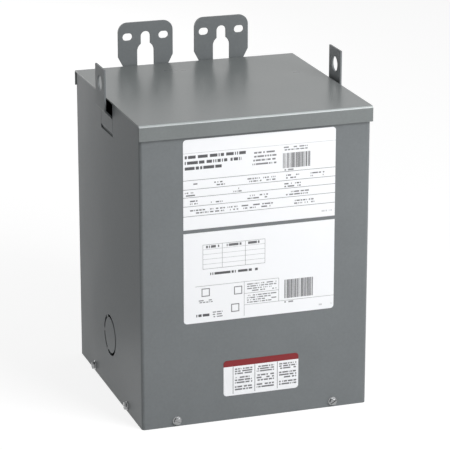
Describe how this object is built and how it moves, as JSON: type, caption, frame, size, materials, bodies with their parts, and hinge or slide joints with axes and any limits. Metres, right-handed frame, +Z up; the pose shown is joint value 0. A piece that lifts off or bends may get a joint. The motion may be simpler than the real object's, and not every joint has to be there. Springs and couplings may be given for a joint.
{
  "type": "general purpose dry-type transformer in a wall-mount enclosure",
  "caption": "Encapsulated general purpose transformer in a grey sheet metal case with a flanged cover, lifting tabs, keyhole wall brackets and side knockouts.",
  "frame": {"origin": "centre of the case's footprint, on the floor that it stands on", "axes": "+Z up, the labelled front faces -Y, the wall brackets are on +Y"},
  "size_m": [0.295, 0.2822, 0.4205],
  "materials": {
    "grey_enamel": "satin grey baked enamel",
    "cover_enamel": "semi-gloss grey baked enamel",
    "bracket_enamel": "satin grey baked enamel",
    "potting_resin": "dark sand-filled resin",
    "label_stock": null,
    "small_label_stock": "white vinyl label with a plain red band",
    "zinc": "bright zinc plate"
  },
  "bodies": {
    "root": {"case_wrap": "grey_enamel", "back_panel": "grey_enamel", "bottom_pan": "grey_enamel", "top_cover": "cover_enamel", "potted_core": "potting_resin", "left_lifting_tab": "grey_enamel", "right_lifting_tab": "grey_enamel", "left_wall_bracket": "bracket_enamel", "right_wall_bracket": "bracket_enamel", "upper_nameplate": "label_stock", "lower_nameplate": "label_stock", "small_label": "small_label_stock", "left_knockout_slug": "grey_enamel", "right_knockout_slug": "grey_enamel", "front_left_screw": "zinc", "front_right_screw": "zinc", "left_front_screw": "zinc", "left_rear_screw": "zinc", "right_front_screw": "zinc", "right_rear_screw": "zinc", "back_left_screw": "zinc", "back_right_screw": "zinc"}
  },
  "joints": []
}
